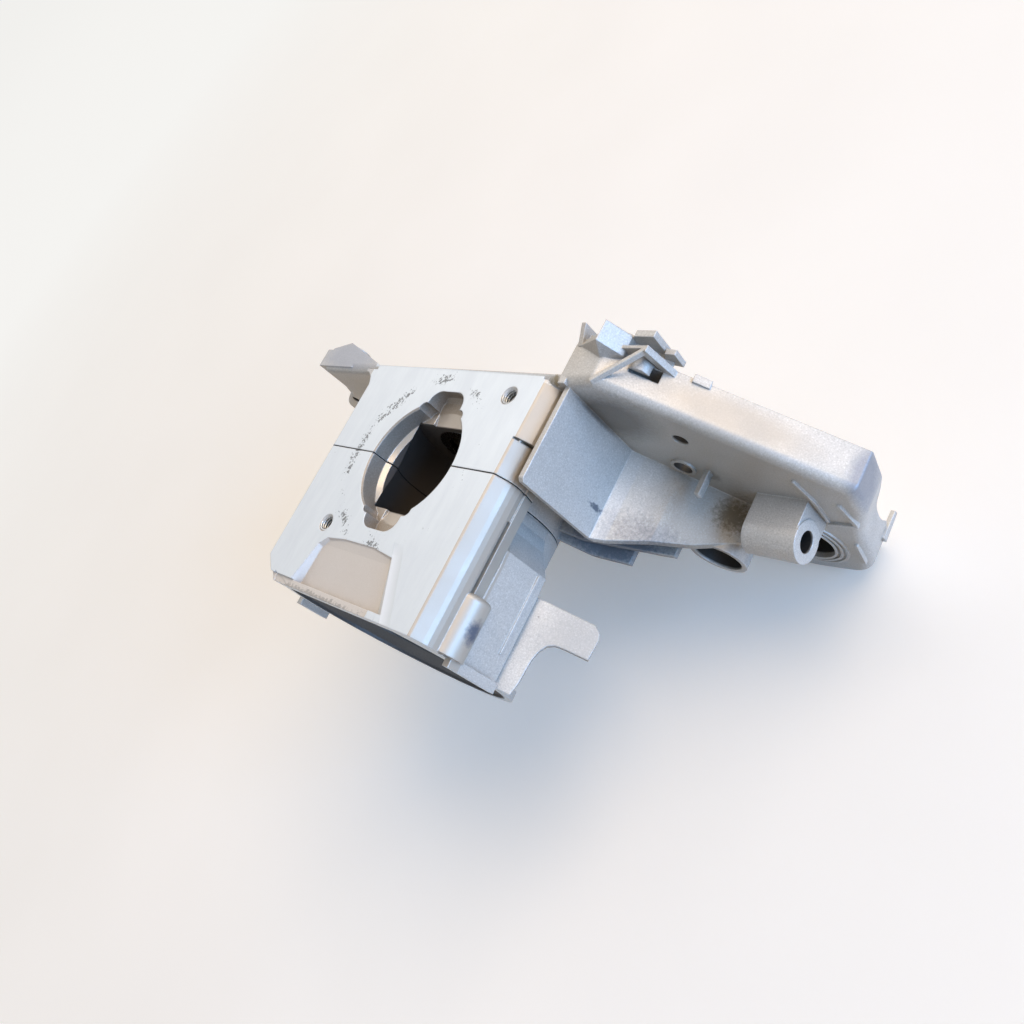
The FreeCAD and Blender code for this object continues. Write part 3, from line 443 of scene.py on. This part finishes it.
def makeCastAlloy(name, marksAndPaintedShade):
    look = castLook
    material, tree, shader = startMaterial(name, Roughness=0.5, Metallic=0.4)
    grain = useGroup(tree, castGrain, {"Grain Size": look["grainSize"], "Blotch Size": look["blotchSize"]})
    faces = useGroup(tree, machinedFaces)
    hollow = useGroup(tree, hollows)
    edge = useGroup(tree, rubbedEdge, {"Radius": look["edgeRadius"]})
    dirtAndShade = useGroup(tree, dirtAndCornerShade, {"Reach": look["dirtAndShadeReach"]})
    trace = useGroup(tree, gasketTrace, {"Radius": 0.0288, "Width": 0.0042, "Amount": 0.3})
    slope = useGroup(tree, bevelBesidePocket)
    depth = useGroup(tree, holeShade)
    place = splitPlace(tree)[1]
    facing = surfaceFacing(tree)
    pocket = allOf(tree, below(tree, place["Y"], pocketZone["front"]),
                   above(tree, place["Z"], pocketZone["floor"]), below(tree, place["Z"], pocketZone["top"]),
                   below(tree, place["X"], pocketZone["right"]))
    rail = allOf(tree, above(tree, place["X"], railZone["left"]), below(tree, place["Y"], railZone["back"]),
                 above(tree, place["Z"], railZone["bottom"]), below(tree, place["X"], railZone["right"]))
    bevel = allOf(tree, pocket, below(tree, facing["X"], -0.2))
    smooth = calc(tree, "MAXIMUM", faces["Mask"], bevel)

    # Colour, from the bare casting to what lies on it, with painted light and shade over it
    skin = mixColour(tree, grain["Blotch"], look["skin"], look["blotch"])
    coarse = calc(tree, "SUBTRACT", 1.0, calc(tree, "MULTIPLY", rail, 0.7))
    for low, high, speckColour in ((0.4, 0.0, look["darkSpeck"]), (0.6, 1.0, look["paleSpeck"])):
        speck = allOf(tree, remap(tree, grain["Speck"], low, high, 0.0, 0.5), coarse)
        skin = mixColour(tree, speck, skin, speckColour)
    skin = mixColour(tree, calc(tree, "MULTIPLY", pocket, 0.8), skin, look["recess"])
    # Painted light: the rail is painted a darker, warmer tone, standing for how the warm key light falls on
    # its slope and toning down the lamps' glare on it
    skin = mixColour(tree, calc(tree, "MULTIPLY", rail, 0.85), skin, look["rail"])
    cut = mixColour(tree, remap(tree, faces["Streaks"], 0.35, 0.7), look["machined"], look["machinedWorn"])
    base = mixColour(tree, smooth, skin, cut)
    # Painted highlight: the bevel beside the pocket is painted near white
    base = mixColour(tree, allOf(tree, slope["Mask"], faces["Seat"]), base, look["bevel"])
    base = mixColour(tree, hollow["Bore"], base, mixColour(tree, 0.75, base, look["bore"], "MULTIPLY"))
    base = mixColour(tree, hollow["Ledge"], base, look["ledge"])
    base = mixColour(tree, calc(tree, "MULTIPLY", edge["Mask"], 0.5), base, look["edge"])
    # Corner dirt with painted shade: darker where ambient occlusion finds corners and creases
    base = mixColour(tree, calc(tree, "MULTIPLY", dirtAndShade["Mask"], 0.4), base, look["dirtAndShade"])
    base = mixColour(tree, allOf(tree, trace["Mask"], faces["Seat"], 0.8), base, look["trace"])
    # Stains, and the patches of painted shade and painted shadow from the lists
    for centre, reach, raggedness, code, strength in marksAndPaintedShade:
        spot = useGroup(tree, spotMark, {"Centre": centre, "Reach": reach, "Raggedness": raggedness,
                                         "Grain": look["markGrain"]})
        base = mixColour(tree, calc(tree, "MULTIPLY", spot["Mask"], strength), base, colour(code))
    # Painted shade: the clutch bell, the crank chamber and the walls of the holes are painted dark for the
    # shadow inside them
    for mask, amount, shade in ((hollow["Bell"], 0.85, "bell"), (hollow["Chamber"], 0.95, "chamber"),
                                (depth["Mask"], 0.92, "hole")):
        base = mixColour(tree, calc(tree, "MULTIPLY", mask, amount), base, look[shade])
    setSocket(tree, shader["Base Color"], base)

    roughness = mixValue(tree, smooth, remap(tree, grain["Blotch"], 0.0, 1.0, 0.4, 0.52),
                         remap(tree, faces["Streaks"], 0.3, 0.7, 0.36, 0.42))
    setSocket(tree, shader["Roughness"], mixValue(tree, hollow["Ledge"], roughness, look["ledgeRoughness"]))
    ramp = mixValue(tree, faces["Seat"], 1.0, slope["Height"])
    tilt = addNode(tree, "ShaderNodeBump", {"Height": ramp, "Distance": seatBevel["depth"],
                                            "Normal": edge["Normal"]})
    height = mixValue(tree, smooth, calc(tree, "MULTIPLY", grain["Height"], coarse),
                      calc(tree, "MULTIPLY", faces["Streaks"], 0.3))
    bump = addNode(tree, "ShaderNodeBump", {"Height": height, "Distance": look["grainDepth"],
                                            "Strength": 1.0, "Normal": tilt.outputs["Normal"]})
    setSocket(tree, shader["Normal"], bump.outputs["Normal"])
    return material


steelLook = {"edge": colour("e6e6e4"), "dirtAndShade": colour("35302a")}


def makeSteel(name, bright, dull, roughness, radius=0.0003):
    material, tree, shader = startMaterial(name, Metallic=1.0)
    where = ownPlace(tree)
    brushed = noise(tree, stretched(tree, where, (1400.0, 90.0, 1400.0)), 1.0, 3.0, 0.6)
    cloudy = noise(tree, where, 240.0, 4.0, 0.6)
    edge = useGroup(tree, rubbedEdge, {"Radius": radius})
    dirtAndShade = useGroup(tree, dirtAndCornerShade, {"Reach": 0.003})
    base = mixColour(tree, remap(tree, cloudy, 0.35, 0.65), bright, dull)
    base = mixColour(tree, calc(tree, "MULTIPLY", edge["Mask"], 0.6), base, steelLook["edge"])
    # Corner dirt with painted shade: darker where ambient occlusion finds corners and creases
    base = mixColour(tree, calc(tree, "MULTIPLY", dirtAndShade["Mask"], 0.6), base, steelLook["dirtAndShade"])
    setSocket(tree, shader["Base Color"], base)
    setSocket(tree, shader["Roughness"], remap(tree, brushed, 0.3, 0.7, roughness * 0.8, roughness * 1.3))
    bump = addNode(tree, "ShaderNodeBump", {"Height": brushed, "Distance": 0.00002, "Normal": edge["Normal"]})
    setSocket(tree, shader["Normal"], bump.outputs["Normal"])
    return material


def makeSoft(name, base, pale, roughness, grainSize):
    material, tree, shader = startMaterial(name, Roughness=roughness)
    grain = useGroup(tree, castGrain, {"Grain Size": grainSize, "Blotch Size": 0.008})
    edge = useGroup(tree, rubbedEdge, {"Radius": 0.0002})
    tint = mixColour(tree, calc(tree, "MULTIPLY", grain["Speck"], 0.5), base, pale)
    tint = mixColour(tree, calc(tree, "MULTIPLY", edge["Mask"], 0.3), tint, pale)
    setSocket(tree, shader["Base Color"], tint)
    uneven = remap(tree, grain["Blotch"], 0.0, 1.0, roughness - 0.1, roughness + 0.1)
    setSocket(tree, shader["Roughness"], uneven)
    bump = addNode(tree, "ShaderNodeBump", {"Height": grain["Height"], "Distance": 0.00005,
                                            "Normal": edge["Normal"]})
    setSocket(tree, shader["Normal"], bump.outputs["Normal"])
    return material


clutchAlloy = makeCastAlloy("clutchSideCastAlloy", clutchMarksAndPaintedShade)
flywheelAlloy = makeCastAlloy("flywheelSideCastAlloy", flywheelMarksAndPaintedShade)
groundSteel = makeSteel("oiledBearingSteel", colour("4b4845"), colour("34312e"), 0.24)
pressedSteel = makeSteel("pressedSteel", colour("8f8a7e"), colour("6b6558"), 0.34)
platedSteel = makeSteel("zincPlatedSteel", colour("c4c6c4"), colour("9c9d99"), 0.3)
ballSteel = makeSteel("polishedBallSteel", colour("dededd"), colour("cacac8"), 0.08, 0.0001)
cutThread = makeSteel("cutThread", colour("dedad4"), colour("b3aca3"), 0.25)
sealRubber = makeSoft("sealRubber", colour("241d1a"), colour("4a3f39"), 0.55, 0.0003)
gasketFibre = makeSoft("gasketFibre", colour("232220"), colour("3e3c38"), 0.8, 0.0004)
print("materials ready")

finishes = {"clutch_side_half": clutchAlloy, "flywheel_side_half": flywheelAlloy,
            "crankcase_gasket": gasketFibre}
for nodeName in nodes:
    if nodeName.endswith("_ring"):
        finishes[nodeName] = groundSteel
    elif nodeName.endswith(("_cage", "_seal_case")):
        finishes[nodeName] = pressedSteel
    elif nodeName.endswith("_balls"):
        finishes[nodeName] = ballSteel
    elif nodeName.endswith("_seal_lip"):
        finishes[nodeName] = sealRubber
    elif nodeName.startswith(("case_screw", "dowel_pin")):
        finishes[nodeName] = platedSteel
for nodeName, material in finishes.items():
    mesh = nodes[nodeName].data
    mesh.materials.clear()
    mesh.materials.append(material)


# Threads in the tapped holes and the knurling of the case screws

threadLook = {
    "slot": "cast_alloy",
    "inputs": {"Turns": 11.5, "Pitch": 0.33, "Ridge": 0.15, "Resolution": 28},
    "holes": [  # place at the thread's inner end, way out, thread radius
        ((0.0288, 0.0248, 0.0172), (0, 0, 1), 0.00252), ((-0.0238, -0.0266, 0.0172), (0, 0, 1), 0.00252),
        ((-0.0765, 0.0339, 0.0195), (0, 1, 0), 0.00212), ((-0.0580, 0.0339, -0.0600), (0, 1, 0), 0.00212),
        ((0.0900, 0.0339, -0.0625), (0, 1, 0), 0.00212), ((0.1045, 0.0339, -0.0200), (0, 1, 0), 0.00212),
        ((-0.0560, 0.0340, -0.0080), (0, 1, 0), 0.00172), ((-0.0520, 0.0340, -0.0320), (0, 1, 0), 0.00172),
    ],
}
knurlLook = {
    "slot": "fastener_steel",
    "inputs": {"Ridges": 36, "Head Radius": 0.00425, "Proud": 0.00012, "Height": 0.0038},
    "heads": [(0.0310, 0.0160), (-0.0330, 0.0140), (-0.0325, -0.0120), (-0.0210, -0.0275), (0.0005, -0.0344)],
    "middle": -0.0305,  # half way up a head, along Y
}


# Points that carry the values which a geometry tree reads
def pointMesh(name, places, attributes):
    mesh = bpy.data.meshes.new(name)
    mesh.from_pydata([tuple(place) for place in places], [], [])
    for label, (kind, values) in attributes.items():
        layer = mesh.attributes.new(label, kind, "POINT")
        for item, value in zip(layer.data, values):
            if kind == "FLOAT":
                item.value = value
            else:
                item.vector = value
    return mesh


def makeThreadTree():
    tree, take, give = startGroup(
        "tappedThreads",
        [("Geometry", "NodeSocketGeometry", None), ("Turns", "NodeSocketFloat", 10.0),
         ("Pitch", "NodeSocketFloat", 0.33), ("Ridge", "NodeSocketFloat", 0.15),
         ("Resolution", "NodeSocketInt", 28), ("Finish", "NodeSocketMaterial", None)],
        [("Geometry", "NodeSocketGeometry")], "GeometryNodeTree")
    length = calc(tree, "MULTIPLY", take["Turns"], take["Pitch"])
    helix = addNode(tree, "GeometryNodeCurveSpiral", {
        "Resolution": take["Resolution"], "Rotations": take["Turns"], "Start Radius": 1.0, "End Radius": 1.0,
        "Height": length})
    ridge = addNode(tree, "GeometryNodeCurvePrimitiveCircle", {"Resolution": 3, "Radius": take["Ridge"]})
    swept = addNode(tree, "GeometryNodeCurveToMesh", {
        "Curve": helix.outputs[0], "Profile Curve": ridge.outputs[0], "Fill Caps": True})
    way = addNode(tree, "GeometryNodeInputNamedAttribute", {"Name": "wayOut"}, data_type="FLOAT_VECTOR")
    radius = addNode(tree, "GeometryNodeInputNamedAttribute", {"Name": "threadRadius"}, data_type="FLOAT")
    turned = addNode(tree, "FunctionNodeAlignRotationToVector", {"Vector": way.outputs[0]}, axis="Z")
    placed = addNode(tree, "GeometryNodeInstanceOnPoints", {
        "Points": take["Geometry"], "Instance": swept.outputs[0], "Rotation": turned.outputs[0],
        "Scale": radius.outputs[0]})
    real = addNode(tree, "GeometryNodeRealizeInstances", {"Geometry": placed.outputs[0]})
    done = addNode(tree, "GeometryNodeSetMaterial", {"Geometry": real.outputs[0], "Material": take["Finish"]})
    tree.links.new(done.outputs[0], give["Geometry"])
    return tree


def makeKnurlTree():
    tree, take, give = startGroup(
        "screwKnurling",
        [("Geometry", "NodeSocketGeometry", None), ("Ridges", "NodeSocketInt", 36),
         ("Head Radius", "NodeSocketFloat", 0.004), ("Proud", "NodeSocketFloat", 0.0001),
         ("Height", "NodeSocketFloat", 0.004), ("Finish", "NodeSocketMaterial", None)],
        [("Geometry", "NodeSocketGeometry")], "GeometryNodeTree")
    ring = addNode(tree, "GeometryNodeMeshCircle", {
        "Vertices": take["Ridges"], "Radius": take["Head Radius"]})
    bar = addNode(tree, "GeometryNodeMeshCylinder", {
        "Vertices": 4, "Side Segments": 1, "Radius": take["Proud"], "Depth": take["Height"]})
    bars = addNode(tree, "GeometryNodeInstanceOnPoints", {
        "Points": ring.outputs[0], "Instance": bar.outputs[0]})
    laid = addNode(tree, "GeometryNodeTransform", {
        "Geometry": bars.outputs[0], "Rotation": (math.radians(90), 0, 0)})
    placed = addNode(tree, "GeometryNodeInstanceOnPoints", {
        "Points": take["Geometry"], "Instance": laid.outputs[0]})
    real = addNode(tree, "GeometryNodeRealizeInstances", {"Geometry": placed.outputs[0]})
    done = addNode(tree, "GeometryNodeSetMaterial", {"Geometry": real.outputs[0], "Material": take["Finish"]})
    tree.links.new(done.outputs[0], give["Geometry"])
    return tree


# Runs a geometry tree on a cloud of points and keeps the result as a plain mesh
def grown(name, points, tree, inputs):
    seed = bpy.data.objects.new(name + "Seed", points)
    scene.collection.objects.link(seed)
    modifier = seed.modifiers.new(name, "NODES")
    modifier.node_group = tree
    for item in tree.interface.items_tree:
        if item.item_type == "SOCKET" and item.in_out == "INPUT" and item.name in inputs:
            modifier[item.identifier] = inputs[item.name]
    made = bpy.data.meshes.new_from_object(seed.evaluated_get(bpy.context.evaluated_depsgraph_get()))
    made.name = name
    bpy.data.objects.remove(seed)
    piece = bpy.data.objects.new(name, made)
    scene.collection.objects.link(piece)
    return piece


places, ways, radii = zip(*threadLook["holes"])
threadPoints = pointMesh("threadPlaces", places, {"wayOut": ("FLOAT_VECTOR", ways),
                                                  "threadRadius": ("FLOAT", radii)})
threads = grown("tappedThreads", threadPoints, makeThreadTree(), dict(threadLook["inputs"], Finish=cutThread))
headPoints = pointMesh("headPlaces", [(x, knurlLook["middle"], z) for x, z in knurlLook["heads"]], {})
knurling = grown("screwKnurling", headPoints, makeKnurlTree(), dict(knurlLook["inputs"], Finish=platedSteel))
for piece, look in ((threads, threadLook), (knurling, knurlLook)):
    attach(piece, "case")
print("threads and knurling ready")


# Floor, light and camera

stageLook = {
    "floorColour": colour("f7f1e8"), "floorCloud": colour("f3ede4"), "floorFar": colour("4a4a4a"),
    "floorLift": 0.17, "farLift": 0.88, "liftColour": colour("fdfcf9"), "farStart": 0.25, "farEnd": 1.1,
    "floorHalf": 15.0, "floorGap": 0.0004, "worldColour": colour("eef3fb"), "worldStrength": 0.25,
}


# The floor glows a little to the camera alone, and more far off, where the lamps leave it grey
def makeFloor():
    size, level = stageLook["floorHalf"], cadBox[0][2] - stageLook["floorGap"]
    mesh = bpy.data.meshes.new("paleFloor")
    corners = [(x * size, y * size, level) for x, y in ((-1, -1), (1, -1), (1, 1), (-1, 1))]
    mesh.from_pydata(corners, [], [(0, 1, 2, 3)])
    floor = bpy.data.objects.new("paleFloor", mesh)
    scene.collection.objects.link(floor)
    material = bpy.data.materials.new("palePaper")
    material.use_nodes = True
    tree = material.node_tree
    tree.nodes.clear()
    where = ownPlace(tree)
    cloudy = remap(tree, noise(tree, where, 9.0, 3.0), 0.3, 0.7)
    tint = mixColour(tree, cloudy, stageLook["floorColour"], stageLook["floorCloud"])
    far = remap(tree, vectorCalc(tree, "LENGTH", where), stageLook["farStart"], stageLook["farEnd"])
    tint = mixColour(tree, far, tint, stageLook["floorFar"])
    paper = addNode(tree, "ShaderNodeBsdfDiffuse", {"Color": tint}).outputs[0]
    seen = addNode(tree, "ShaderNodeLightPath").outputs["Is Camera Ray"]
    strength = calc(tree, "MULTIPLY", seen, mixValue(tree, far, stageLook["floorLift"], stageLook["farLift"]))
    lift = addNode(tree, "ShaderNodeEmission", {"Color": stageLook["liftColour"], "Strength": strength})
    both = addNode(tree, "ShaderNodeAddShader")
    tree.links.new(paper, both.inputs[0])
    tree.links.new(lift.outputs[0], both.inputs[1])
    tree.links.new(both.outputs[0], addNode(tree, "ShaderNodeOutputMaterial").inputs["Surface"])
    mesh.materials.append(material)


def makeWorld():
    world = bpy.data.worlds.new("softRoom")
    scene.world = world
    world.use_nodes = True
    tree = world.node_tree
    tree.nodes.clear()
    path = addNode(tree, "ShaderNodeLightPath").outputs
    seen = calc(tree, "MAXIMUM", path["Is Camera Ray"], path["Is Glossy Ray"])
    strength = mixValue(tree, seen, stageLook["worldStrength"], 1.0)
    sky = addNode(tree, "ShaderNodeBackground", {"Color": stageLook["worldColour"], "Strength": strength})
    tree.links.new(sky.outputs[0], addNode(tree, "ShaderNodeOutputWorld").inputs["Surface"])


lamps = {
    "keyLamp": {"towards": (0.34, 0.46, 0.82), "away": 3.0, "size": 2.6, "power": 64.0,
                "tint": colour("ffeacf")},
    "backLamp": {"towards": (-0.50, 0.46, 0.74), "away": 3.0, "size": 2.2, "power": 14.0,
                 "tint": colour("f6f8fc")},
    "sideLamp": {"towards": (0.985, 0.03, 0.12), "away": 2.0, "size": 1.6, "power": 76.0,
                 "tint": colour("86beff")},
}


def makeLamps():
    for name, look in lamps.items():
        lamp = bpy.data.lights.new(name, "AREA")
        lamp.size = look["size"]
        lamp.energy = look["power"]
        lamp.color = look["tint"][:3]
        holder = bpy.data.objects.new(name, lamp)
        towards = Vector(look["towards"]).normalized()
        holder.location = towards * look["away"]
        holder.rotation_euler = towards.to_track_quat("Z", "Y").to_euler()
        scene.collection.objects.link(holder)


cameraLook = {
    "place": (0.23338, -0.06626, 0.18122), "right": (0.659, 0.450, -0.603), "up": (-0.145, 0.863, 0.485),
    "lens": 33.07, "sensor": 36.0, "nearest": 0.01, "farthest": 50.0,
}


def makeCamera():
    camera = bpy.data.cameras.new("photoCamera")
    camera.lens = cameraLook["lens"]
    camera.sensor_width = cameraLook["sensor"]
    camera.clip_start, camera.clip_end = cameraLook["nearest"], cameraLook["farthest"]
    holder = bpy.data.objects.new("photoCamera", camera)
    right, up = Vector(cameraLook["right"]).normalized(), Vector(cameraLook["up"])
    back = right.cross(up).normalized()
    up = back.cross(right)
    turned = Matrix((right, up, back)).transposed().to_4x4()
    holder.matrix_world = Matrix.Translation(cameraLook["place"]) @ turned
    scene.collection.objects.link(holder)
    scene.camera = holder


makeFloor()
makeWorld()
makeLamps()
makeCamera()
scene.view_settings.view_transform = "Standard"
print("stage ready")
